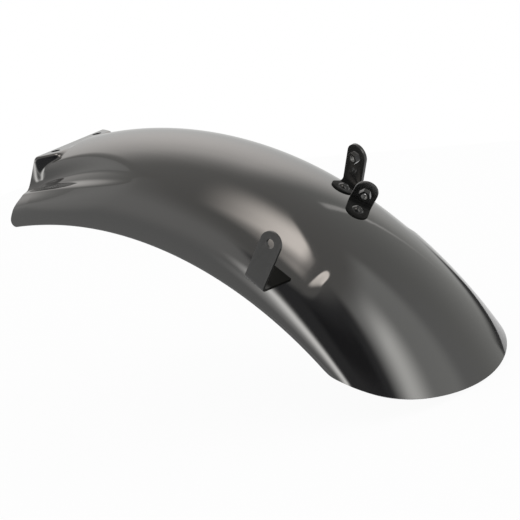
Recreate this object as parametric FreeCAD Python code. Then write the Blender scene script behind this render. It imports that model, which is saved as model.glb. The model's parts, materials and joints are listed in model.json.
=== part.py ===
import FreeCAD, Part
import math
import os

# Rear fender for a motorcycle. Millimetres and degrees.
# Origin: midway between the two front flange holes, on the flange's top face.
# +X runs rearward, +Y to the right-hand side, +Z up out of the flange.
os.makedirs("parts", exist_ok=True)
V = FreeCAD.Vector

# Sheet and crown arc. Station angles are turned about the crown centre from +Z towards +X.
SHEET = 2.0
CROWN_R = 370.0
CROWN_X = 54.0
CROWN_RISE = 5.0
CROWN_Z = CROWN_RISE - CROWN_R
FRONT_ANGLE = -9.7
TAIL_ANGLE = 71.2

# Half width of the section grows from the front to the tail; the section is an ellipse,
# slimmed a little half way round.
HALF_WIDTH_FRONT = 92.0
HALF_WIDTH_TAIL = 114.0
SECTION_SLIM = 1.5

# Lower edge of the skirts: one large arc in side view, its top ahead of the crown's.
SKIRT_DEPTH = 61.0
EDGE_OVER_CROWN = 28.0
EDGE_R = CROWN_R + EDGE_OVER_CROWN
EDGE_X = 12.8
EDGE_Z = CROWN_RISE - SKIRT_DEPTH - EDGE_R
SKIRT_CORNER_X = -25.0
SKIRT_CORNER_R = 7.0
TAIL_CORNER_ANGLE = 50.75
TAIL_CORNER_R = 30.0

# Front flange, its bolt holes and the joggle behind it.
FLANGE_FRONT = 8.0
FLANGE_BACK = 8.0
FLANGE_INSET = 40.0
FLANGE_HALF = HALF_WIDTH_FRONT - FLANGE_INSET
FLANGE_TAPER_RATIO = 0.75
FLANGE_END_R = 5.0
FLANGE_WALL_ANGLE = 77.0
FLANGE_BLEND = 4.0
JOGGLE = 7.0
BOLT_SPACING = 63.0
BOLT_HOLE_D = 9.0

# Scallop in each front shoulder.
SCALLOP_DEPTH = 10.5
SCALLOP_SPAN_ANGLE = 21.6
SCALLOP_TOP_ANGLE = 26.0
SCALLOP_TOP_RISE_ANGLE = 15.0
SCALLOP_TOP_MID_ANGLE = -0.5
SCALLOP_TOP_SPAN_ANGLE = 12.4
SCALLOP_RIDGE_ANGLE = 55.0
SCALLOP_RIDGE_DROP_ANGLE = 6.0
SCALLOP_WALL_SHARE = 0.6
SCALLOP_LEDGE_SHARE = 0.5
SCALLOP_LEDGE_START = 0.8
SCALLOP_LEDGE_END = 1.12
SCALLOP_FADE_END = 1.9

# Set-in side and the shoulder that ends it.
SET_IN = 1.2
SET_IN_START_ANGLE = 18.0
SHOULDER_ANGLE = 45.9
SHOULDER_WIDTH_ANGLE = 1.8
SHOULDER_MID_ANGLE = 45.0
SHOULDER_FADE_ANGLE = 15.0
SHOULDER_FADE_RATIO = 0.5
SET_IN_TOP_ANGLE = 28.0
SET_IN_FULL_ANGLE = 48.0
SET_IN_LOW_ANGLE = 48.0
SET_IN_END_ANGLE = 64.0

# Spacing of the points that the pressed skin runs through, in degrees.
OVERRUN_ANGLE = 7.0
WIDE_STEP = 2.5
MIDDLE_STEP = 1.6
WALL_STEP = 0.8
FINE_STEP = 0.4
JOGGLE_SPAN_ANGLE = 5.0

# Flat bar brackets.
BAR_WIDTH = 22.0
BAR_THICK = 3.0
BEND_R = 3.0
STRUT_STATION_ANGLE = 41.9
STRUT_SECTION_ANGLE = 60.4
STRUT_FOOT = 38.7
STRUT_TILT_ANGLE = 37.2
STRUT_YAW_ANGLE = 5.0
STRUT_BEND_ANGLE = 87.5
STRUT_UPRIGHT = 56.4
STRUT_HOLE_D = 8.5
WELD_SINK = 1.6

CROWN_FOOT = 28.0
CROWN_SCREW_INSET = 16.0
FOOT_SINK = 1.0
TALL_STATION_ANGLE = 37.0
TALL_SECTION_ANGLE = 17.5
TALL_UPRIGHT = 53.0
TALL_YAW_ANGLE = -10.0
TALL_LEAN_ANGLE = 17.0
SHORT_STATION_ANGLE = 41.7
SHORT_SECTION_ANGLE = 5.0
SHORT_UPRIGHT = 28.5
SHORT_YAW_ANGLE = 24.0
SHORT_LEAN_ANGLE = 6.0

# Fasteners of the crown brackets.
SCREW_D = 6.0
SCREW_FIT = 0.25
HEAD_D = 11.0
HEAD_H = 3.3
SOCKET_D = 4.0
SOCKET_DEPTH = 1.8
NUT_AF = 10.0
NUT_H = 5.0
WASHER_D = 14.0
WASHER_H = 1.6
WASHER_SINK = 0.3
WELD_NUT_INSET = 12.0
SCREW_TIP = 3.0


def rise(start, end, value):
    """Smooth 0 to 1 as value goes from start to end."""
    s = min(max((value - start) / (end - start), 0.0), 1.0)
    return s * s * (3.0 - 2.0 * s)


def sind(angle):
    return math.sin(math.radians(angle))


def cosd(angle):
    return math.cos(math.radians(angle))


def half_width(station):
    part = (station - FRONT_ANGLE) / (TAIL_ANGLE - FRONT_ANGLE)
    return HALF_WIDTH_FRONT + (HALF_WIDTH_TAIL - HALF_WIDTH_FRONT) * part


def edge_depth(station):
    """Depth of the lower edge arc below the crown arc along a station's ray."""
    dx = EDGE_X - CROWN_X
    dz = EDGE_Z - CROWN_Z
    along = dx * sind(station) + dz * cosd(station)
    reach = along + math.sqrt(along ** 2 - dx ** 2 - dz ** 2 + EDGE_R ** 2)
    return CROWN_R - reach


def scallop(station, angle):
    """Inward depth of the front scallop at a section angle."""
    part = min(max((station - FRONT_ANGLE) / SCALLOP_SPAN_ANGLE, 0.0), 1.0)
    held = min(max(station, FRONT_ANGLE), FRONT_ANGLE + SCALLOP_SPAN_ANGLE)
    bowed = ((held - SCALLOP_TOP_MID_ANGLE) / SCALLOP_TOP_SPAN_ANGLE) ** 2
    top = SCALLOP_TOP_ANGLE + SCALLOP_TOP_RISE_ANGLE * bowed
    ridge = SCALLOP_RIDGE_ANGLE - SCALLOP_RIDGE_DROP_ANGLE * part ** 4
    across = (angle - top) / (ridge - top)
    ledge = SCALLOP_LEDGE_SHARE * rise(SCALLOP_LEDGE_START, SCALLOP_LEDGE_END, across)
    ledge += (1.0 - SCALLOP_LEDGE_SHARE) * rise(1.0, SCALLOP_FADE_END, across)
    fade = (1.0 - part ** 2) ** 1.5
    return SCALLOP_DEPTH * fade * rise(0.0, SCALLOP_WALL_SHARE, across) * (1.0 - ledge)


def set_in(station, angle):
    """Inward depth of the set-in side ahead of its shoulder."""
    ramp = rise(SET_IN_START_ANGLE, SHOULDER_ANGLE, station)
    fade = rise(0.0, SHOULDER_FADE_ANGLE, abs(angle - SHOULDER_MID_ANGLE))
    spread = SHOULDER_WIDTH_ANGLE * (1.0 + SHOULDER_FADE_RATIO * fade)
    step = 1.0 - rise(SHOULDER_ANGLE, SHOULDER_ANGLE + spread, station)
    upper = rise(SET_IN_TOP_ANGLE, SET_IN_FULL_ANGLE, angle)
    lower = 1.0 - rise(SET_IN_LOW_ANGLE, SET_IN_END_ANGLE, angle)
    return SET_IN * ramp * step * upper * lower


def skin(station, angle):
    """Point of the outer skin; angles past 90 degrees run straight on below the edge."""
    side = math.copysign(1.0, angle)
    bend = min(abs(angle), 90.0)
    width = half_width(station)
    depth = edge_depth(station)
    inward = SECTION_SLIM * sind(2.0 * bend) ** 2 + scallop(station, bend) + set_in(station, bend)
    y = width * sind(bend) - inward * sind(bend)
    drop = depth * (1.0 - cosd(bend) + math.radians(abs(angle) - bend)) + inward * cosd(bend)
    x = CROWN_X + (CROWN_R - drop) * sind(station)
    z = CROWN_Z + (CROWN_R - drop) * cosd(station)
    joggled = rise(FLANGE_BACK, FLANGE_BACK + JOGGLE, x)
    return V(x, side * y, joggled * z - (1.0 - joggled) * flange_drop(x, y, -z))


def flange_drop(x, y, pressed):
    """Depth below the flange face: a rounded end wall that runs out into the pressed side."""
    behind = x + FLANGE_FRONT
    reach = FLANGE_HALF - FLANGE_TAPER_RATIO * (behind + math.hypot(behind, JOGGLE)) / 2.0
    past = max(y - reach, 0.0)
    turned = min(past, FLANGE_END_R * sind(FLANGE_WALL_ANGLE))
    wall = FLANGE_END_R - math.sqrt(FLANGE_END_R ** 2 - turned ** 2)
    wall += (past - turned) * sind(FLANGE_WALL_ANGLE) / cosd(FLANGE_WALL_ANGLE)
    if wall <= 0.0 or pressed <= 0.0:
        return 0.0
    return (wall ** -FLANGE_BLEND + pressed ** -FLANGE_BLEND) ** (-1.0 / FLANGE_BLEND)


def normal(station, angle):
    """Outward unit normal of the outer skin."""
    step = 0.05
    along = skin(station + step, angle) - skin(station - step, angle)
    across = skin(station, angle + step) - skin(station, angle - step)
    out = along.cross(across)
    return out.normalize()


def spaced(stops):
    """Values from stop to stop; each stop is (value, step used up to the next one)."""
    values = []
    for (start, step), (end, last) in zip(stops, stops[1:]):
        count = max(1, round((end - start) / step))
        values += [start + (end - start) * i / count for i in range(count)]
    return values + [stops[-1][0]]


def make_skin(inset):
    """Smooth face through the skin points, moved inwards by inset."""
    shoulder_end = SHOULDER_ANGLE + SHOULDER_WIDTH_ANGLE
    stations = spaced([
        (FRONT_ANGLE - OVERRUN_ANGLE, MIDDLE_STEP),
        (FRONT_ANGLE - MIDDLE_STEP, FINE_STEP),
        (FRONT_ANGLE + JOGGLE_SPAN_ANGLE, MIDDLE_STEP),
        (FRONT_ANGLE + SCALLOP_SPAN_ANGLE, WIDE_STEP),
        (SHOULDER_ANGLE - SHOULDER_WIDTH_ANGLE, FINE_STEP),
        (shoulder_end + SHOULDER_WIDTH_ANGLE, WIDE_STEP),
        (TAIL_ANGLE + OVERRUN_ANGLE, WIDE_STEP)])
    half = spaced([
        (0.0, WIDE_STEP),
        (SCALLOP_TOP_ANGLE - WIDE_STEP, WALL_STEP),
        (SCALLOP_TOP_ANGLE + SCALLOP_TOP_RISE_ANGLE, MIDDLE_STEP),
        (SET_IN_LOW_ANGLE, WIDE_STEP),
        (90.0, OVERRUN_ANGLE / 2.0),
        (90.0 + OVERRUN_ANGLE, WIDE_STEP)])
    angles = [-a for a in reversed(half[1:])] + half
    grid = [[skin(s, a) - normal(s, a) * inset for a in angles] for s in stations]
    surface = Part.BSplineSurface()
    surface.interpolate(grid)
    return surface.toShape()


def side_prism():
    """Keeps what lies inside the fender's outline in side view."""
    def on_edge(x):
        return V(x, 0, EDGE_Z + math.sqrt(EDGE_R ** 2 - (x - EDGE_X) ** 2))
    corner = on_edge(SKIRT_CORNER_X)
    tail = on_edge(EDGE_X + EDGE_R * sind(TAIL_CORNER_ANGLE))
    middle = on_edge((corner.x + tail.x) / 2.0)
    crown_end = V(CROWN_X + CROWN_R * sind(TAIL_ANGLE), 0, CROWN_Z + CROWN_R * cosd(TAIL_ANGLE))
    beyond = crown_end + (crown_end - tail).normalize() * SKIRT_DEPTH
    flange = V(-FLANGE_FRONT, 0, 0)
    flange += (flange - corner).normalize() * SHEET
    above = V(flange.x, 0, SKIRT_DEPTH)
    edges = [Part.Arc(corner, middle, tail).toShape()]
    loop = [tail, beyond, V(beyond.x, 0, above.z), above, flange, corner]
    edges += [Part.makeLine(a, b) for a, b in zip(loop, loop[1:])]
    wide = 2.0 * HALF_WIDTH_TAIL
    prism = Part.Face(Part.Wire(edges)).extrude(V(0, 2.0 * wide, 0))
    prism.translate(V(0, -wide, 0))

    def upright_edge(point):
        for edge in prism.Edges:
            mid = edge.CenterOfMass
            if abs(mid.y) < 1 and abs(mid.x - point.x) < 0.01 and abs(mid.z - point.z) < 0.01:
                return edge
    prism = prism.makeFillet(SKIRT_CORNER_R, [upright_edge(corner)])
    return prism.makeFillet(TAIL_CORNER_R, [upright_edge(tail)])


def drill(radius, centre, axis):
    """Tool for a hole through a plate at its centre."""
    return Part.makeCylinder(radius, 2.0 * BAR_WIDTH, centre - axis * BAR_WIDTH, axis)


def make_shell():
    outer = make_skin(0.0)
    inner = make_skin(SHEET)
    rims = []
    for outer_edge in outer.Edges:
        near = min(inner.Edges, key=lambda e: e.CenterOfMass.distanceToPoint(outer_edge.CenterOfMass))
        rims.append(Part.makeRuledSurface(outer_edge, near))
    sheet = Part.makeSolid(Part.makeShell([outer, inner] + rims))
    if sheet.Volume < 0:
        sheet.reverse()
    sheet = sheet.common(side_prism())
    for side in (-0.5, 0.5):
        sheet = sheet.cut(drill(BOLT_HOLE_D / 2.0, V(0, side * BOLT_SPACING, 0), V(0, 0, 1)))
    return sheet


def round_end(bar, centre, along, through):
    """Full round on the end of a bar: centre of the round, direction of the end, plate normal."""
    across = along.cross(through)
    reach = BAR_WIDTH
    corner = centre - across * reach - through * reach
    block = Part.Face(Part.makePolygon([
        corner, corner + along * reach, corner + along * reach + across * (2 * reach),
        corner + across * (2 * reach), corner])).extrude(through * (2 * reach))
    return bar.cut(block.cut(drill(BAR_WIDTH / 2.0, centre, through)))


def angle_bar(foot, upright, bend, round_foot):
    """Bent bar: foot along +Y with its underside on Z = 0, upright at the bend angle from it."""
    rise_dir = V(0, cosd(bend), sind(bend))
    inside = V(0, sind(bend), -cosd(bend))
    inner = BAR_THICK * (1.0 + cosd(bend)) / sind(bend)
    top = rise_dir * upright
    loop = [V(0, 0, 0), V(0, foot, 0), V(0, foot, BAR_THICK), V(0, inner, BAR_THICK),
            top + inside * BAR_THICK, top, V(0, 0, 0)]
    bar = Part.Face(Part.makePolygon(loop)).extrude(V(BAR_WIDTH, 0, 0))
    bar.translate(V(-BAR_WIDTH / 2.0, 0, 0))

    def bend_edge(y, z):
        for edge in bar.Edges:
            mid = edge.CenterOfMass
            if abs(mid.x) < 0.01 and abs(mid.y - y) < 0.01 and abs(mid.z - z) < 0.01:
                return edge
    bar = bar.makeFillet(BEND_R, [bend_edge(inner, BAR_THICK)])
    bar = bar.makeFillet(BEND_R + BAR_THICK, [bend_edge(0, 0)])
    bar = round_end(bar, rise_dir * (upright - BAR_WIDTH / 2.0), rise_dir, inside)
    if round_foot:
        bar = round_end(bar, V(0, foot - BAR_WIDTH / 2.0, 0), V(0, 1, 0), V(0, 0, 1))
    return bar


def placed(origin, x_dir, y_dir):
    """Placement with the given local X and Y directions."""
    z_dir = x_dir.cross(y_dir).normalize()
    y_dir = z_dir.cross(x_dir).normalize()
    matrix = FreeCAD.Matrix(x_dir.x, y_dir.x, z_dir.x, origin.x,
                            x_dir.y, y_dir.y, z_dir.y, origin.y,
                            x_dir.z, y_dir.z, z_dir.z, origin.z, 0, 0, 0, 1)
    return FreeCAD.Placement(matrix)


def make_strut(shell):
    """Left bracket: the foot runs in to the flank and is welded there."""
    upright_dir = V(0, cosd(STRUT_BEND_ANGLE), sind(STRUT_BEND_ANGLE))
    hole_at = upright_dir * (STRUT_UPRIGHT - BAR_WIDTH / 2.0)
    bar = angle_bar(STRUT_FOOT + WELD_SINK, STRUT_UPRIGHT, STRUT_BEND_ANGLE, False)
    axis = V(0, sind(STRUT_BEND_ANGLE), -cosd(STRUT_BEND_ANGLE))
    bar = bar.cut(drill(STRUT_HOLE_D / 2.0, hole_at, axis))
    root = skin(STRUT_STATION_ANGLE, -STRUT_SECTION_ANGLE)
    level = cosd(STRUT_YAW_ANGLE)
    along = V(level * cosd(STRUT_TILT_ANGLE), -sind(STRUT_YAW_ANGLE), -level * sind(STRUT_TILT_ANGLE))
    in_dir = V(0, 1, 0) - along * along.y
    in_dir.normalize()
    bar.Placement = placed(root - in_dir * STRUT_FOOT, along, in_dir)
    return max(bar.cut(shell).Solids, key=lambda solid: solid.Volume)


def crown_seat(station, section, yaw):
    """Frame on the crown: point, foot normal, direction along the foot and slope of the foot."""
    point = skin(station, section)
    out = normal(station, section)
    inboard = skin(station, section - 0.5) - skin(station, section + 0.5)
    inboard = (inboard - out * inboard.dot(out)).normalize()
    slope = math.degrees(math.atan2(inboard.z, -inboard.y))
    return point, out, FreeCAD.Rotation(out, yaw).multVec(inboard), slope


def make_crown_set(station, section, upright, yaw, lean):
    """One crown bracket with its welded nut, and the bore for its screw."""
    point, out, inboard, slope = crown_seat(station, section, yaw)
    bend = 90.0 - slope - lean
    bar = angle_bar(CROWN_FOOT, upright, bend, True)
    place = placed(point - out * FOOT_SINK - inboard * CROWN_SCREW_INSET, inboard.cross(out), inboard)
    up = V(0, cosd(bend), sind(bend))
    face = V(0, sind(bend), -cosd(bend))
    nut_at = up * (upright - WELD_NUT_INSET) + face * BAR_THICK
    bar = bar.cut(drill(SCREW_D / 2.0 + SCREW_FIT, nut_at, face))
    nut = hex_nut(nut_at, face)
    bar.Placement = place
    nut.Placement = place.multiply(nut.Placement)
    bore = drill(SCREW_D / 2.0 + SCREW_FIT, point, out)
    return bar.cut(bore), nut, bore


def hex_nut(base, axis):
    """Hex nut standing on base along axis, with a plain bore."""
    corner_r = NUT_AF / math.sqrt(3.0)
    points = [V(corner_r * cosd(a), corner_r * sind(a), 0) for a in range(0, 420, 60)]
    nut = Part.Face(Part.makePolygon(points)).extrude(V(0, 0, NUT_H))
    nut = nut.cut(Part.makeCylinder(SCREW_D / 2.0, NUT_H))
    nut.Placement = FreeCAD.Placement(base, FreeCAD.Rotation(V(0, 0, 1), axis))
    return nut


def make_screw(point, out):
    """Domed screw down through the foot and the sheet; local Z = 0 is under the head."""
    seat = BAR_THICK - FOOT_SINK
    below = FOOT_SINK + SHEET + WASHER_H + NUT_H + SCREW_TIP
    dome_r = (HEAD_D ** 2 / 4.0 + HEAD_H ** 2) / (2.0 * HEAD_H)
    head = Part.makeSphere(dome_r, V(0, 0, HEAD_H - dome_r))
    head = head.common(Part.makeCylinder(HEAD_D / 2.0, HEAD_H))
    socket = Part.makeCylinder(SOCKET_D / 2.0, HEAD_H, V(0, 0, HEAD_H - SOCKET_DEPTH))
    shank = Part.makeCylinder(SCREW_D / 2.0, seat + below, V(0, 0, -seat - below))
    screw = head.fuse(shank).cut(socket)
    screw.Placement = FreeCAD.Placement(point + out * seat, FreeCAD.Rotation(V(0, 0, 1), out))
    return screw


shell = make_shell()
strut = make_strut(shell)
seats = [(TALL_STATION_ANGLE, TALL_SECTION_ANGLE, TALL_UPRIGHT, TALL_YAW_ANGLE, TALL_LEAN_ANGLE),
         (SHORT_STATION_ANGLE, SHORT_SECTION_ANGLE, SHORT_UPRIGHT, SHORT_YAW_ANGLE, SHORT_LEAN_ANGLE)]
bars, weld_nuts, screws, washers, nuts = [], [], [], [], []
for station, section, upright, yaw, lean in seats:
    bar, weld_nut, bore = make_crown_set(station, section, upright, yaw, lean)
    point, out, inboard, slope = crown_seat(station, section, yaw)
    shell = shell.cut(bore)
    bars.append(bar)
    weld_nuts.append(weld_nut)
    screws.append(make_screw(point, out))
    ring_top = point - out * (SHEET - WASHER_SINK)
    ring = Part.makeCylinder(WASHER_D / 2.0, WASHER_H + WASHER_SINK, ring_top, out * -1)
    washers.append(ring.cut(bore))
    nuts.append(hex_nut(point - out * (SHEET + WASHER_H), out * -1))
bars = [bar.cut(shell) for bar in bars]
washers = [ring.cut(shell) for ring in washers]

nodes = {
    "fender_shell": shell,
    "strut_bracket": strut,
    "tall_bracket": bars[0],
    "short_bracket": bars[1],
    "weld_nuts": Part.makeCompound(weld_nuts),
    "foot_screws": Part.makeCompound(screws),
    "washers": Part.makeCompound(washers),
    "nuts": Part.makeCompound(nuts),
}
for name, shape in nodes.items():
    shape.exportStep("parts/" + name + ".step")
    print(name, len(shape.Solids), shape.isValid(), round(shape.Volume, 1), shape.BoundBox)
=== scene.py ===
import json
import math

import bmesh
import bpy
from mathutils import Matrix, Vector


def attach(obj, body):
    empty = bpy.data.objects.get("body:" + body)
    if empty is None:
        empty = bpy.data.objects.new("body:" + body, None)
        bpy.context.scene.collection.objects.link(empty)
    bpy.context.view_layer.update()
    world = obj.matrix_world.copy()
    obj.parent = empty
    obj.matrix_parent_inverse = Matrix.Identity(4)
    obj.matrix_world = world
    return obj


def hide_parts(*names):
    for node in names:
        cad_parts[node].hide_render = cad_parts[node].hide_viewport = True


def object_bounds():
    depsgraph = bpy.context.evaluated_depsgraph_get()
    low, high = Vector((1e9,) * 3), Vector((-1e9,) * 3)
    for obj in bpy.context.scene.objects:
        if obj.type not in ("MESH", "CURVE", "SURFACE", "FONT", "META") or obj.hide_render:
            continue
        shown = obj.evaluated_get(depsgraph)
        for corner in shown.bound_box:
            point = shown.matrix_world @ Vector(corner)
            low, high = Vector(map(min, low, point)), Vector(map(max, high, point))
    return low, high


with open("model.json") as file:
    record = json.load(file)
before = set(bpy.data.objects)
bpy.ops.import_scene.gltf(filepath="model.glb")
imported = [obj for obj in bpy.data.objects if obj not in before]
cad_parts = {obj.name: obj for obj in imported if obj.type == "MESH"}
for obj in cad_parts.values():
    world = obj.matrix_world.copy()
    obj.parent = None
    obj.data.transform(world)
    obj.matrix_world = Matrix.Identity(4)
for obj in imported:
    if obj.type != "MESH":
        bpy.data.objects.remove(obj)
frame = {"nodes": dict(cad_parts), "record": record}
cad_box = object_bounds()
pieces = frame["nodes"]


# Fender shell: one pressed steel sheet that bolts on by the flange at its front.
# It is in black gloss paint with a deep clear top coat, which lies smooth, with only a faint
# ripple and a little warmth in the black.
def add_finish(piece, name):
    """New node material on a piece: its nodes, its links and its surface shader."""
    material = bpy.data.materials.new(name)
    material.use_nodes = True
    piece.data.materials.clear()
    piece.data.materials.append(material)
    nodes = material.node_tree.nodes
    return nodes, material.node_tree.links, nodes["Principled BSDF"]


def set_shader(finish, values):
    """Sets inputs of a finish's surface shader by name."""
    *_, shader = finish
    for socket, value in values.items():
        shader.inputs[socket].default_value = value


# Sockets of a mix node that take its two colours and give the mixed one.
FIRST_COLOUR = 6
SECOND_COLOUR = 7
MIXED_COLOUR = 2


def make_mottle():
    """Cloudy change of colour and roughness with a fine height grain, by place on the object."""
    group = bpy.data.node_groups.new("surface_mottle", "ShaderNodeTree")
    sockets = group.interface
    for name, kind in (("Cloud Scale", "NodeSocketFloat"), ("Grain Scale", "NodeSocketFloat"),
                       ("Dark", "NodeSocketColor"), ("Light", "NodeSocketColor"),
                       ("Smooth", "NodeSocketFloat"), ("Rough", "NodeSocketFloat")):
        sockets.new_socket(name, in_out="INPUT", socket_type=kind)
    for name, kind in (("Color", "NodeSocketColor"), ("Roughness", "NodeSocketFloat"),
                       ("Height", "NodeSocketFloat")):
        sockets.new_socket(name, in_out="OUTPUT", socket_type=kind)
    nodes, links = group.nodes, group.links
    given = nodes.new("NodeGroupInput")
    result = nodes.new("NodeGroupOutput")
    place = nodes.new("ShaderNodeTexCoord")
    cloud = nodes.new("ShaderNodeTexNoise")
    grain = nodes.new("ShaderNodeTexNoise")
    for noise, scale in ((cloud, "Cloud Scale"), (grain, "Grain Scale")):
        links.new(place.outputs["Object"], noise.inputs["Vector"])
        links.new(given.outputs[scale], noise.inputs["Scale"])
    tint = nodes.new("ShaderNodeMix")
    tint.data_type = "RGBA"
    links.new(cloud.outputs["Fac"], tint.inputs["Factor"])
    links.new(given.outputs["Dark"], tint.inputs[FIRST_COLOUR])
    links.new(given.outputs["Light"], tint.inputs[SECOND_COLOUR])
    gloss = nodes.new("ShaderNodeMapRange")
    links.new(grain.outputs["Fac"], gloss.inputs["Value"])
    links.new(given.outputs["Smooth"], gloss.inputs["To Min"])
    links.new(given.outputs["Rough"], gloss.inputs["To Max"])
    links.new(tint.outputs[MIXED_COLOUR], result.inputs["Color"])
    links.new(gloss.outputs["Result"], result.inputs["Roughness"])
    links.new(grain.outputs["Fac"], result.inputs["Height"])
    return group


mottle = make_mottle()


def add_mottle(finish, cloud, grain, dark, light, smooth, rough, depth):
    """Places the mottle in a finish; depth is the height of its grain in metres."""
    nodes, links, shader = finish
    spread = nodes.new("ShaderNodeGroup")
    spread.node_tree = mottle
    for socket, value in (("Cloud Scale", cloud), ("Grain Scale", grain), ("Dark", (*dark, 1.0)),
                          ("Light", (*light, 1.0)), ("Smooth", smooth), ("Rough", rough)):
        spread.inputs[socket].default_value = value
    links.new(spread.outputs["Color"], shader.inputs["Base Color"])
    links.new(spread.outputs["Roughness"], shader.inputs["Roughness"])
    bump = nodes.new("ShaderNodeBump")
    bump.inputs["Distance"].default_value = depth
    links.new(spread.outputs["Height"], bump.inputs["Height"])
    links.new(bump.outputs["Normal"], shader.inputs["Normal"])


# Sizes of the pressing in millimetres and degrees. A station is an angle about the crown arc's
# centre, from straight up towards the tail; a section angle runs from the crown to the skirts.
MM = 0.001
SHEET = 2.0
CROWN_R = 370.0
CROWN_X = 54.0
CROWN_RISE = 5.0
CROWN_Z = CROWN_RISE - CROWN_R
FRONT_ANGLE = -9.7
TAIL_ANGLE = 71.2
HALF_WIDTH_FRONT = 92.0
HALF_WIDTH_TAIL = 114.0
SECTION_SLIM = 1.5
SKIRT_DEPTH = 61.0
EDGE_R = 398.0
EDGE_X = 12.8
EDGE_Z = CROWN_RISE - SKIRT_DEPTH - EDGE_R
SKIRT_CORNER_X = -25.0
SKIRT_CORNER_R = 7.0
TAIL_CORNER_ANGLE = 50.75
TAIL_CORNER_R = 30.0
FLANGE_FRONT = 8.0
FLANGE_BACK = 8.0
FLANGE_INSET = 40.0
FLANGE_HALF = HALF_WIDTH_FRONT - FLANGE_INSET
FLANGE_TAPER_RATIO = 0.75
FLANGE_END_R = 5.0
FLANGE_WALL_ANGLE = 77.0
FLANGE_BLEND = 4.0
JOGGLE = 7.0
BOLT_SPACING = 63.0
BOLT_HOLE_D = 9.0
SCALLOP_DEPTH = 10.5
SCALLOP_SPAN_ANGLE = 21.6
SCALLOP_TOP_ANGLE = 26.0
SCALLOP_TOP_RISE_ANGLE = 15.0
SCALLOP_TOP_MID_ANGLE = -0.5
SCALLOP_TOP_SPAN_ANGLE = 12.4
SCALLOP_RIDGE_ANGLE = 55.0
SCALLOP_RIDGE_DROP_ANGLE = 6.0
SCALLOP_WALL_SHARE = 0.6
SCALLOP_LEDGE_SHARE = 0.5
SCALLOP_LEDGE_START = 0.8
SCALLOP_LEDGE_END = 1.12
SCALLOP_FADE_END = 1.9
SET_IN = 1.2
SET_IN_START_ANGLE = 18.0
SHOULDER_ANGLE = 45.9
SHOULDER_WIDTH_ANGLE = 1.8
SHOULDER_MID_ANGLE = 45.0
SHOULDER_FADE_ANGLE = 15.0
SHOULDER_FADE_RATIO = 0.5
SET_IN_TOP_ANGLE = 28.0
SET_IN_FULL_ANGLE = 48.0
SET_IN_LOW_ANGLE = 48.0
SET_IN_END_ANGLE = 64.0


def rise(start, end, value):
    """Smooth 0 to 1 as value goes from start to end."""
    s = min(max((value - start) / (end - start), 0.0), 1.0)
    return s * s * (3.0 - 2.0 * s)


def sind(angle):
    """Sine of an angle in degrees."""
    return math.sin(math.radians(angle))


def cosd(angle):
    """Cosine of an angle in degrees."""
    return math.cos(math.radians(angle))


def edge_depth(station):
    """Depth of the lower edge arc below the crown arc along a station's ray."""
    dx = EDGE_X - CROWN_X
    dz = EDGE_Z - CROWN_Z
    along = dx * sind(station) + dz * cosd(station)
    return CROWN_R - along - math.sqrt(along ** 2 - dx ** 2 - dz ** 2 + EDGE_R ** 2)


def scallop(station, angle):
    """Inward depth of the front scallop at a section angle."""
    part = min(max((station - FRONT_ANGLE) / SCALLOP_SPAN_ANGLE, 0.0), 1.0)
    held = min(max(station, FRONT_ANGLE), FRONT_ANGLE + SCALLOP_SPAN_ANGLE)
    bowed = ((held - SCALLOP_TOP_MID_ANGLE) / SCALLOP_TOP_SPAN_ANGLE) ** 2
    top = SCALLOP_TOP_ANGLE + SCALLOP_TOP_RISE_ANGLE * bowed
    ridge = SCALLOP_RIDGE_ANGLE - SCALLOP_RIDGE_DROP_ANGLE * part ** 4
    across = (angle - top) / (ridge - top)
    ledge = SCALLOP_LEDGE_SHARE * rise(SCALLOP_LEDGE_START, SCALLOP_LEDGE_END, across)
    ledge += (1.0 - SCALLOP_LEDGE_SHARE) * rise(1.0, SCALLOP_FADE_END, across)
    fade = (1.0 - part ** 2) ** 1.5
    return SCALLOP_DEPTH * fade * rise(0.0, SCALLOP_WALL_SHARE, across) * (1.0 - ledge)


def set_in(station, angle):
    """Inward depth of the set-in side ahead of its shoulder."""
    ramp = rise(SET_IN_START_ANGLE, SHOULDER_ANGLE, station)
    fade = rise(0.0, SHOULDER_FADE_ANGLE, abs(angle - SHOULDER_MID_ANGLE))
    spread = SHOULDER_WIDTH_ANGLE * (1.0 + SHOULDER_FADE_RATIO * fade)
    step = 1.0 - rise(SHOULDER_ANGLE, SHOULDER_ANGLE + spread, station)
    upper = rise(SET_IN_TOP_ANGLE, SET_IN_FULL_ANGLE, angle)
    lower = 1.0 - rise(SET_IN_LOW_ANGLE, SET_IN_END_ANGLE, angle)
    return SET_IN * ramp * step * upper * lower


def flange_drop(x, y, pressed):
    """Depth below the flange face: a rounded end wall that runs out into the pressed side."""
    behind = x + FLANGE_FRONT
    reach = FLANGE_HALF - FLANGE_TAPER_RATIO * (behind + math.hypot(behind, JOGGLE)) / 2.0
    past = max(y - reach, 0.0)
    turned = min(past, FLANGE_END_R * sind(FLANGE_WALL_ANGLE))
    wall = FLANGE_END_R - math.sqrt(FLANGE_END_R ** 2 - turned ** 2)
    wall += (past - turned) * sind(FLANGE_WALL_ANGLE) / cosd(FLANGE_WALL_ANGLE)
    if wall <= 0.0 or pressed <= 0.0:
        return 0.0
    return (wall ** -FLANGE_BLEND + pressed ** -FLANGE_BLEND) ** (-1.0 / FLANGE_BLEND)


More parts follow.
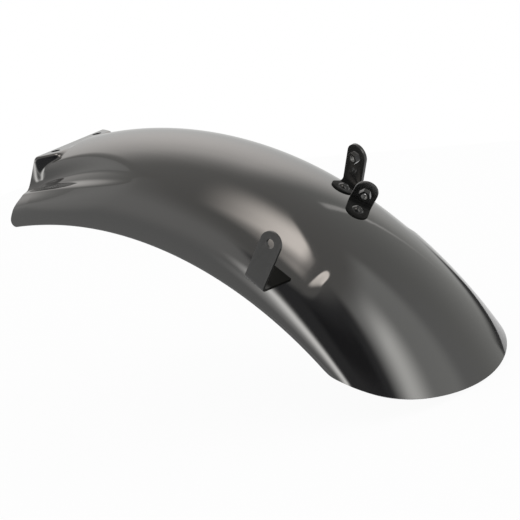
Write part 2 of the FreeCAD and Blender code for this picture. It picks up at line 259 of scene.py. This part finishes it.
def skin(station, angle):
    """Point of the outer skin; angles past 90 degrees run straight on below the edge."""
    bend = min(abs(angle), 90.0)
    part = (station - FRONT_ANGLE) / (TAIL_ANGLE - FRONT_ANGLE)
    width = HALF_WIDTH_FRONT + (HALF_WIDTH_TAIL - HALF_WIDTH_FRONT) * part
    depth = edge_depth(station)
    inward = SECTION_SLIM * sind(2.0 * bend) ** 2 + scallop(station, bend) + set_in(station, bend)
    y = (width - inward) * sind(bend)
    drop = depth * (1.0 - cosd(bend) + math.radians(abs(angle) - bend)) + inward * cosd(bend)
    x = CROWN_X + (CROWN_R - drop) * sind(station)
    z = CROWN_Z + (CROWN_R - drop) * cosd(station)
    joggled = rise(FLANGE_BACK, FLANGE_BACK + JOGGLE, x)
    z = joggled * z - (1.0 - joggled) * flange_drop(x, y, -z)
    return Vector((x, math.copysign(y, angle), z))


NORMAL_STEP = 0.05


def inner_skin(station, angle):
    """Point of the inner skin, one sheet thickness in along the outer skin's normal."""
    along = skin(station + NORMAL_STEP, angle) - skin(station - NORMAL_STEP, angle)
    across = skin(station, angle + NORMAL_STEP) - skin(station, angle - NORMAL_STEP)
    return skin(station, angle) - along.cross(across).normalized() * SHEET


def on_edge(x):
    """Point of the skirts' lower edge in side view."""
    return Vector((x, EDGE_Z + math.sqrt(EDGE_R ** 2 - (x - EDGE_X) ** 2)))


class End:
    """Front or tail line of the side view, from its rounded lower corner up to its tip."""

    def __init__(self, corner_x, tip, radius, rearward):
        corner = on_edge(corner_x)
        self.corner = corner
        self.line = (tip - corner).normalized()
        edge = Vector((corner.y - EDGE_Z, EDGE_X - corner.x)).normalized() * -rearward
        self.inward = (edge - self.line * edge.dot(self.line)).normalized()
        self.middle = (self.line + edge).normalized()
        half = math.acos(self.line.dot(edge)) / 2.0
        self.radius = radius
        self.centre = corner + self.middle * (radius / math.sin(half))
        self.chord = radius * math.sin(half)
        self.rearward = rearward

    def room(self, station, angle):
        """How far inside the line a skin point lies in side view."""
        point = skin(station, angle)
        side = Vector((point.x, point.z))
        if (self.centre - side).dot(self.middle) > self.chord:
            return self.radius - (side - self.centre).length
        return (side - self.corner).dot(self.inward)

    def station(self, angle):
        """Station at which a section angle reaches the line, found by halving."""
        inside = MIDDLE_STATION
        outside = inside + self.rearward * END_SEARCH
        for _ in range(HALVINGS):
            between = (inside + outside) / 2.0
            if self.room(between, angle) > 0.0:
                inside = between
            else:
                outside = between
        return inside


MIDDLE_STATION = 30.0
END_SEARCH = 48.0
HALVINGS = 40
front_end = End(SKIRT_CORNER_X, Vector((-FLANGE_FRONT, 0.0)), SKIRT_CORNER_R, -1.0)
crown_end = Vector((CROWN_X + CROWN_R * sind(TAIL_ANGLE), CROWN_Z + CROWN_R * cosd(TAIL_ANGLE)))
tail_end = End(EDGE_X + EDGE_R * sind(TAIL_CORNER_ANGLE), crown_end, TAIL_CORNER_R, 1.0)


def spaced(stops):
    """Values from stop to stop; each stop is (value, step used up to the next one)."""
    values = []
    for (start, step), (end, last) in zip(stops, stops[1:]):
        count = max(1, round((end - start) / step))
        values += [start + (end - start) * i / count for i in range(count)]
    return values + [stops[-1][0]]


# The sheet's mesh: lines along the fender for each section angle, drawn out to both ends.
# The steps are finest where the sheet turns most: the flange, the scallops and the shoulders.
FRONT_EASE = 12.0
TAIL_EASE = 26.0
HOLE_SIDES = 48
PUNCH_LENGTH = 10.0 * SHEET
CREASE_ANGLE = 40.0
stations = spaced([(FRONT_ANGLE, 0.16), (FRONT_ANGLE + 5.0, 0.6), (FRONT_ANGLE + 24.0, 1.0),
                   (SHOULDER_ANGLE - 1.5, 0.16), (SHOULDER_ANGLE + 3.0, 0.9), (TAIL_ANGLE, 1.0)])
right_half = spaced([(0.0, 1.8), (24.0, 0.3), (44.0, 0.8), (60.0, 1.3), (87.0, 0.5), (90.0, 1.0)])
section_angles = [-angle for angle in reversed(right_half[1:])] + right_half
outer_points, inner_points = [], []
for angle in section_angles:
    to_front = front_end.station(angle) - FRONT_ANGLE
    to_tail = tail_end.station(angle) - TAIL_ANGLE
    for base in stations:
        station = base + to_front * (1.0 - rise(FRONT_ANGLE, FRONT_ANGLE + FRONT_EASE, base))
        station += to_tail * rise(TAIL_ANGLE - TAIL_EASE, TAIL_ANGLE, base)
        outer_points.append(skin(station, angle) * MM)
        inner_points.append(inner_skin(station, angle) * MM)
rows, columns = len(stations), len(section_angles)
under = len(outer_points)
faces = []
for i in range(columns - 1):
    for j in range(rows - 1):
        first, second = i * rows + j, (i + 1) * rows + j
        faces.append((first, first + 1, second + 1, second))
        faces.append((under + first, under + second, under + second + 1, under + first + 1))
rim = list(range(rows)) + [i * rows + rows - 1 for i in range(1, columns)]
rim += [(columns - 1) * rows + j for j in range(rows - 2, -1, -1)]
rim += [i * rows for i in range(columns - 2, 0, -1)]
for first, second in zip(rim, rim[1:] + rim[:1]):
    faces.append((second, first, under + first, under + second))
sheet_mesh = bpy.data.meshes.new("fender_sheet")
sheet_mesh.from_pydata(outer_points + inner_points, [], faces)
shell = bpy.data.objects.new("fender_sheet", sheet_mesh)
bpy.context.collection.objects.link(shell)
punches = []
for side in (-0.5, 0.5):
    bolt_place = Vector((0.0, side * BOLT_SPACING, 0.0)) * MM
    bpy.ops.mesh.primitive_cylinder_add(vertices=HOLE_SIDES, radius=BOLT_HOLE_D / 2.0 * MM,
                                        depth=PUNCH_LENGTH * MM, location=bolt_place)
    punches.append(bpy.context.object)
    punched = shell.modifiers.new("bolt_hole", "BOOLEAN")
    punched.object = punches[-1]
worked_out = bpy.context.evaluated_depsgraph_get()
shell.data = bpy.data.meshes.new_from_object(shell.evaluated_get(worked_out))
shell.modifiers.clear()
for punch in punches:
    bpy.data.objects.remove(punch)
shell.data.shade_smooth()
shell.data.set_sharp_from_angle(angle=math.radians(CREASE_ANGLE))
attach(shell, "root")
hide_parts("fender_shell")
shell_paint = add_finish(shell, "shell_paint")
add_mottle(shell_paint, cloud=14.0, grain=260.0, dark=(0.0050, 0.0047, 0.0044),
           light=(0.0085, 0.0078, 0.0070), smooth=0.06, rough=0.11, depth=0.000001)
set_shader(shell_paint, {"Specular IOR Level": 0.75, "Coat Weight": 1.0, "Coat IOR": 1.6,
                         "Coat Roughness": 0.03})


# Strut bracket: bent flat steel bar, edge-welded to the left flank, in matte black powder coat.
# The coat is finely pebbled and runs round over the bar's edges. The foot carries painted shade:
# its shine is taken off, dark and flat from just inside the bend to the weld, in the nook under the
# upright.
STRUT_EDGE_R = 0.5
JOIN_DISTANCE = 0.01
FLAT_ANGLE = 0.5
EDGE_ANGLE = 35.0
ROUND_STEPS = 3


def round_edges(name, title, radius):
    """Stands a copy with rounded edges in for a plain piece; radius in millimetres."""
    draft = bmesh.new()
    draft.from_mesh(pieces[name].data)
    bmesh.ops.remove_doubles(draft, verts=draft.verts, dist=JOIN_DISTANCE * MM)
    bmesh.ops.dissolve_limit(draft, angle_limit=math.radians(FLAT_ANGLE), verts=draft.verts,
                             edges=draft.edges)
    rounded_mesh = bpy.data.meshes.new(title)
    draft.to_mesh(rounded_mesh)
    draft.free()
    rounded_mesh.shade_smooth()
    rounded = bpy.data.objects.new(title, rounded_mesh)
    bpy.context.collection.objects.link(rounded)
    rounded.matrix_world = pieces[name].matrix_world
    rounding = rounded.modifiers.new("rounded_edges", "BEVEL")
    rounding.limit_method = "ANGLE"
    rounding.angle_limit = math.radians(EDGE_ANGLE)
    rounding.width = radius * MM
    rounding.segments = ROUND_STEPS
    rounding.harden_normals = True
    # The paint in the photograph carries no mirror image of the pieces on it.
    rounded.visible_glossy = False
    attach(rounded, "root")
    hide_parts(name)
    return rounded


# Shine of a foot under its painted shade and of the bar clear of it. The strut's shine starts and
# is full at these places out to the left.
FOOT_SHINE = 0.03
BAR_SHINE = 0.9
LEFTWARD = (0.0, -1.0, 0.0)
STRUT_SHADED = 117.0 * MM
STRUT_CLEAR = 125.0 * MM


def paint_foot_shade(finish, outward, shaded_place, clear):
    """Paints shade on a foot by taking its shine off; outward leads away from the foot, and the next
    two arguments are metres that way.
    """
    nodes, links, shader = finish
    place = nodes.new("ShaderNodeTexCoord")
    reach = nodes.new("ShaderNodeVectorMath")
    reach.operation = "DOT_PRODUCT"
    reach.inputs[1].default_value = outward
    # Painted shade: the shine is low at the foot and full clear of it.
    painted_shade = nodes.new("ShaderNodeMapRange")
    painted_shade.interpolation_type = "SMOOTHSTEP"
    for socket, value in (("From Min", shaded_place), ("From Max", clear),
                          ("To Min", FOOT_SHINE), ("To Max", BAR_SHINE)):
        painted_shade.inputs[socket].default_value = value
    links.new(place.outputs["Object"], reach.inputs[0])
    links.new(reach.outputs["Value"], painted_shade.inputs["Value"])
    links.new(painted_shade.outputs["Result"], shader.inputs["Specular IOR Level"])


strut = round_edges("strut_bracket", "strut_bar", STRUT_EDGE_R)
strut_coat = add_finish(strut, "bracket_matte")
add_mottle(strut_coat, cloud=60.0, grain=900.0, dark=(0.004, 0.004, 0.0035),
           light=(0.008, 0.008, 0.007), smooth=0.30, rough=0.40, depth=0.00003)
# Painted shade on the strut's foot.
paint_foot_shade(strut_coat, LEFTWARD, STRUT_SHADED, STRUT_CLEAR)


# Crown brackets: two short bent steel bars with round ends, in thick black gloss enamel.
# A domed screw holds each one's foot to the crown. Each foot carries painted shade: its shine is
# taken down below the upright's.
# The angles say where each foot sits on the skin; the rises are heights above the skin there.
CROWN_EDGE_R = 0.6
TALL_STATION_ANGLE = 37.0
TALL_SECTION_ANGLE = 17.5
SHORT_STATION_ANGLE = 41.7
SHORT_SECTION_ANGLE = 5.0
SHADED_RISE = 4.0 * MM
CLEAR_RISE = 9.0 * MM
for name, title, station, angle in (
        ("tall_bracket", "tall_bar", TALL_STATION_ANGLE, TALL_SECTION_ANGLE),
        ("short_bracket", "short_bar", SHORT_STATION_ANGLE, SHORT_SECTION_ANGLE)):
    enamel = add_finish(round_edges(name, title, CROWN_EDGE_R), "bracket_gloss")
    add_mottle(enamel, cloud=80.0, grain=500.0, dark=(0.006, 0.006, 0.006),
               light=(0.014, 0.014, 0.013), smooth=0.16, rough=0.28, depth=0.00002)
    foot_place = skin(station, angle) * MM
    foot_up = (foot_place - inner_skin(station, angle) * MM).normalized()
    foot_level = foot_place.dot(foot_up)
    # Painted shade on each foot, full near the skin and gone higher up.
    paint_foot_shade(enamel, foot_up, foot_level + SHADED_RISE, foot_level + CLEAR_RISE)


# Welded nuts and domed screws: the nuts are steel, welded to the uprights of the crown brackets
# and enamelled with them. The screws are of smooth blackened steel and hold the brackets' feet.
NUT_EDGE_R = 0.6
SCREW_EDGE_R = 0.3
NUT_COAT = 0.3
for name, title, slot, radius, smooth, rough, coat in (
        ("weld_nuts", "welded_nuts", "bracket_gloss", NUT_EDGE_R, 0.14, 0.24, NUT_COAT),
        ("foot_screws", "domed_screws", "fastener_black", SCREW_EDGE_R, 0.05, 0.10, 0.0)):
    fastener = add_finish(round_edges(name, title, radius), slot)
    add_mottle(fastener, cloud=80.0, grain=500.0, dark=(0.006, 0.006, 0.006),
               light=(0.012, 0.012, 0.011), smooth=smooth, rough=rough, depth=0.00002)
    set_shader(fastener, {"Coat Weight": coat})


# Threads of the welded nuts: one ridge wound along each bore, cut into the steel of the nut.
# The enamel hasn't run in, so they show the nut's own dark steel.
THREAD_PITCH = 1.0
THREAD_DEPTH = 0.5
THREAD_ROOT = 0.05
THREAD_HALF = 0.45 * THREAD_PITCH
THREAD_TURNS = 4
TURN_STEPS = 32
thread_points, thread_faces = [], []
for mount in frame["record"]["mounts"]:
    if mount["kind"] != "threaded_hole":
        continue
    axis = Vector(mount["axis"])
    across = axis.orthogonal().normalized()
    upward = axis.cross(across)
    bore_r = mount["dims"]["r_mm"]
    ridge = ((bore_r + THREAD_ROOT, -THREAD_HALF), (bore_r - THREAD_DEPTH, 0.0),
             (bore_r + THREAD_ROOT, THREAD_HALF))
    corners = len(ridge)
    first = len(thread_points)
    for i in range(THREAD_TURNS * TURN_STEPS + 1):
        turned = 2.0 * math.pi * i / TURN_STEPS
        outward = across * math.cos(turned) + upward * math.sin(turned)
        along = THREAD_PITCH * (i / TURN_STEPS - THREAD_TURNS / 2.0)
        for reach, side in ridge:
            offset = outward * reach + axis * (along + side)
            thread_points.append(Vector(mount["pos_m"]) + offset * MM)
    for i in range(THREAD_TURNS * TURN_STEPS):
        for j in range(corners):
            start = first + corners * i + j
            beside = first + corners * i + (j + 1) % corners
            thread_faces.append((start, beside, beside + corners, start + corners))
    last = len(thread_points) - corners
    thread_faces += [(first + 2, first + 1, first), (last, last + 1, last + 2)]
thread_mesh = bpy.data.meshes.new("nut_threads")
thread_mesh.from_pydata(thread_points, [], thread_faces)
threads = bpy.data.objects.new("nut_threads", thread_mesh)
bpy.context.collection.objects.link(threads)
threads.visible_glossy = False
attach(threads, "root")
dark_steel = add_finish(threads, "fastener_black")
add_mottle(dark_steel, cloud=200.0, grain=900.0, dark=(0.10, 0.10, 0.10),
           light=(0.20, 0.20, 0.19), smooth=0.30, rough=0.45, depth=0.00001)
set_shader(dark_steel, {"Metallic": 1.0})


# Washers and nuts inside the shell: bright zinc plate over steel.
# They clamp the crown brackets' feet from below.
for name in ("washers", "nuts"):
    zinc = add_finish(pieces[name], "fastener_zinc")
    add_mottle(zinc, cloud=120.0, grain=700.0, dark=(0.45, 0.45, 0.44),
               light=(0.62, 0.62, 0.60), smooth=0.28, rough=0.42, depth=0.00001)
    set_shader(zinc, {"Metallic": 1.0})


# Studio: a pale floor under the tail and a white surround, with light cards and soft boxes.
# The camera sees the surround as white and it lights all colours evenly; only gloss mirrors the
# cards and boxes.
FLOOR_SIZE = 1.9
FLOOR_GAP = 2.0 * MM
FLOOR_GREY = (0.82, 0.82, 0.82, 1.0)
FLOOR_ROUGHNESS = 0.9
WHITE_SHARE = 0.95
floor_z = cad_box[0][2] - FLOOR_GAP
bpy.ops.mesh.primitive_plane_add(size=FLOOR_SIZE, location=(0.0, 0.0, floor_z))
floor = bpy.context.object
floor.name = "studio_floor"
floor_finish = bpy.data.materials.new("studio_floor")
floor_finish.use_nodes = True
floor.data.materials.append(floor_finish)
floor_nodes = floor_finish.node_tree.nodes
floor_links = floor_finish.node_tree.links
plain = floor_nodes["Principled BSDF"]
plain.inputs["Base Color"].default_value = FLOOR_GREY
plain.inputs["Roughness"].default_value = FLOOR_ROUGHNESS
white = floor_nodes.new("ShaderNodeEmission")
seen = floor_nodes.new("ShaderNodeLightPath")
share = floor_nodes.new("ShaderNodeMath")
share.operation = "MULTIPLY"
share.inputs[1].default_value = WHITE_SHARE
blend = floor_nodes.new("ShaderNodeMixShader")
floor_links.new(seen.outputs["Is Camera Ray"], share.inputs[0])
floor_links.new(share.outputs["Value"], blend.inputs["Fac"])
floor_links.new(plain.outputs["BSDF"], blend.inputs[1])
floor_links.new(white.outputs["Emission"], blend.inputs[2])
floor_links.new(blend.outputs["Shader"], floor_nodes["Material Output"].inputs["Surface"])

world = bpy.data.worlds.new("studio_surround")
bpy.context.scene.world = world
world.use_nodes = True
world_nodes = world.node_tree.nodes
world_links = world.node_tree.links


def add_math(operation, first, second):
    """Result of one operation on a socket and a second socket or number."""
    step = world_nodes.new("ShaderNodeMath")
    step.operation = operation
    world_links.new(first, step.inputs[0])
    if isinstance(second, bpy.types.NodeSocket):
        world_links.new(second, step.inputs[1])
    elif second is not None:
        step.inputs[1].default_value = second
    return step.outputs["Value"]


def add_edge(place, outside, inside):
    """Soft edge of a card: 0 at the outside place, 1 at the inside place."""
    edge = world_nodes.new("ShaderNodeMapRange")
    edge.interpolation_type = "SMOOTHSTEP"
    edge.inputs["From Min"].default_value = outside
    edge.inputs["From Max"].default_value = inside
    world_links.new(place, edge.inputs["Value"])
    return edge.outputs["Result"]


def add_span(place, start, end, soft):
    """1 from a card's start to its end, with soft edges."""
    return add_math("MULTIPLY", add_edge(place, start - soft, start + soft),
                    add_edge(place, end + soft, end - soft))


def add_mix(factor, under, over):
    """Colour of the surround with another colour laid over it."""
    laid = world_nodes.new("ShaderNodeMix")
    laid.data_type = "RGBA"
    world_links.new(factor, laid.inputs["Factor"])
    for socket, colour in ((FIRST_COLOUR, under), (SECOND_COLOUR, over)):
        if isinstance(colour, bpy.types.NodeSocket):
            world_links.new(colour, laid.inputs[socket])
        else:
            laid.inputs[socket].default_value = (*colour, 1.0)
    return laid.outputs[MIXED_COLOUR]


WHITE = (1.0, 1.0, 1.0)
PLAIN_LEVEL = (0.9, 0.9, 0.9)
WALL = (0.62, 0.62, 0.61)
CEILING = (0.50, 0.49, 0.47)
WALL_TOP = 20.0
CEILING_START = 60.0
facing = world_nodes.new("ShaderNodeTexCoord")
split = world_nodes.new("ShaderNodeSeparateXYZ")
world_links.new(facing.outputs["Generated"], split.inputs["Vector"])
bearing = add_math("DEGREES", add_math("ARCTAN2", split.outputs["Y"], split.outputs["X"]), None)
height = add_math("DEGREES", add_math("ARCSINE", split.outputs["Z"], None), None)
surround_colour = add_mix(add_edge(height, WALL_TOP, CEILING_START), WALL, CEILING)
# Each wall card: bearings and heights in degrees where it starts and ends, soft edge, colour.
# A bearing of 0 is straight behind the fender, and 90 is out to its right.
wall_cards = {
    "front_left_wall": (-180.0, -88.0, 30.0, 62.0, 12.0, (0.80, 0.79, 0.77)),
    "left_glow": (-110.0, -96.0, 2.0, 22.0, 6.5, (1.6, 1.58, 1.54)),
    "left_strip": (-102.0, -92.0, -3.0, 34.0, 6.0, (4.4, 4.33, 4.2)),
    "right_wall": (48.0, 98.0, -8.0, 52.0, 14.0, (0.50, 0.50, 0.48)),
    "rear_box": (-10.0, 38.0, 8.0, 51.0, 5.0, (0.95, 0.95, 0.92)),
    "rear_strip": (-2.0, 14.0, 8.0, 44.0, 8.0, (2.8, 2.77, 2.67)),
    "camera_side_card": (-90.0, -13.0, 10.0, 55.0, 5.0, (0.13, 0.132, 0.14)),
    "camera_gap": (-66.0, -24.0, 31.0, 47.0, 6.0, (0.04, 0.042, 0.05)),
    "far_gap": (80.0, 106.0, -14.0, 1.5, 2.0, (0.05, 0.05, 0.05)),
}
for start, end, bottom, top, soft, colour in wall_cards.values():
    card = add_math("MULTIPLY", add_span(bearing, start, end, soft),
                    add_span(height, bottom, top, soft))
    surround_colour = add_mix(card, surround_colour, colour)
# Overhead boxes: a slope is metres rearward or rightward for each metre of height. Each box has a
# colour and its edges: what the edge is measured in, where the box ends and where it is full.
# The long box lies to the right and front, the near one overhead, the thin tube far to the right.
FAR_SLANT = 0.5
REAR_SLANT = 0.55
BOX_END_HEIGHT = 5.0
BOX_FULL_HEIGHT = 42.0
back_slope = add_math("DIVIDE", split.outputs["X"], split.outputs["Z"])
side_slope = add_math("DIVIDE", split.outputs["Y"], split.outputs["Z"])
far_edge = add_math("SUBTRACT", side_slope, add_math("MULTIPLY", back_slope, FAR_SLANT))
rear_edge = add_math("ADD", back_slope, add_math("MULTIPLY", side_slope, REAR_SLANT))
overhead_boxes = {
    "long_box": ((1.34, 1.28, 1.23), ((bearing, 84.0, 106.0), (bearing, 190.0, 115.0),
                                      (far_edge, 0.40, 1.05))),
    "near_box": ((4.5, 4.14, 3.83), ((rear_edge, 0.435, 0.375), (back_slope, 0.49, 0.39),
                                     (back_slope, -0.18, 0.38), (side_slope, -0.29, -0.15),
                                     (side_slope, 0.36, -0.05))),
    "far_tube": ((1.3, 1.27, 1.23), ((back_slope, 0.162, 0.198), (back_slope, 0.253, 0.217),
                                     (side_slope, 0.84, 0.96))),
}
for colour, edges in overhead_boxes.values():
    box = add_edge(height, BOX_END_HEIGHT, BOX_FULL_HEIGHT)
    for place, outside, inside in edges:
        box = add_math("MULTIPLY", box, add_edge(place, outside, inside))
    surround_colour = add_mix(box, surround_colour, colour)
seen_sky = world_nodes.new("ShaderNodeLightPath")
surround_colour = add_mix(seen_sky.outputs["Is Glossy Ray"], PLAIN_LEVEL, surround_colour)
shown_white = add_math("MAXIMUM", seen_sky.outputs["Is Camera Ray"],
                       seen_sky.outputs["Is Transmission Ray"])
surround_colour = add_mix(shown_white, surround_colour, WHITE)
world_links.new(surround_colour, world_nodes["Background"].inputs["Color"])


# Camera: the photograph's long lens, behind the left of the tail and a little above, rolled so
# that the picture's upright is the fender's riding attitude.
CAMERA_PLACE = (1.52058, -1.68543, 0.34543)
CAMERA_RIGHT = (0.79452, 0.56869, -0.21289)
CAMERA_UP = (0.04108, 0.29946, 0.95323)
LENS = 165.0
SENSOR_WIDTH = 36.0
camera_data = bpy.data.cameras.new("photo_camera")
camera_data.lens = LENS
camera_data.sensor_width = SENSOR_WIDTH
camera = bpy.data.objects.new("photo_camera", camera_data)
bpy.context.collection.objects.link(camera)
right, up = Vector(CAMERA_RIGHT), Vector(CAMERA_UP)
turn = Matrix((right, up, right.cross(up))).transposed().to_4x4()
camera.matrix_world = Matrix.Translation(Vector(CAMERA_PLACE)) @ turn
bpy.context.scene.camera = camera
bpy.context.scene.view_settings.view_transform = "Standard"
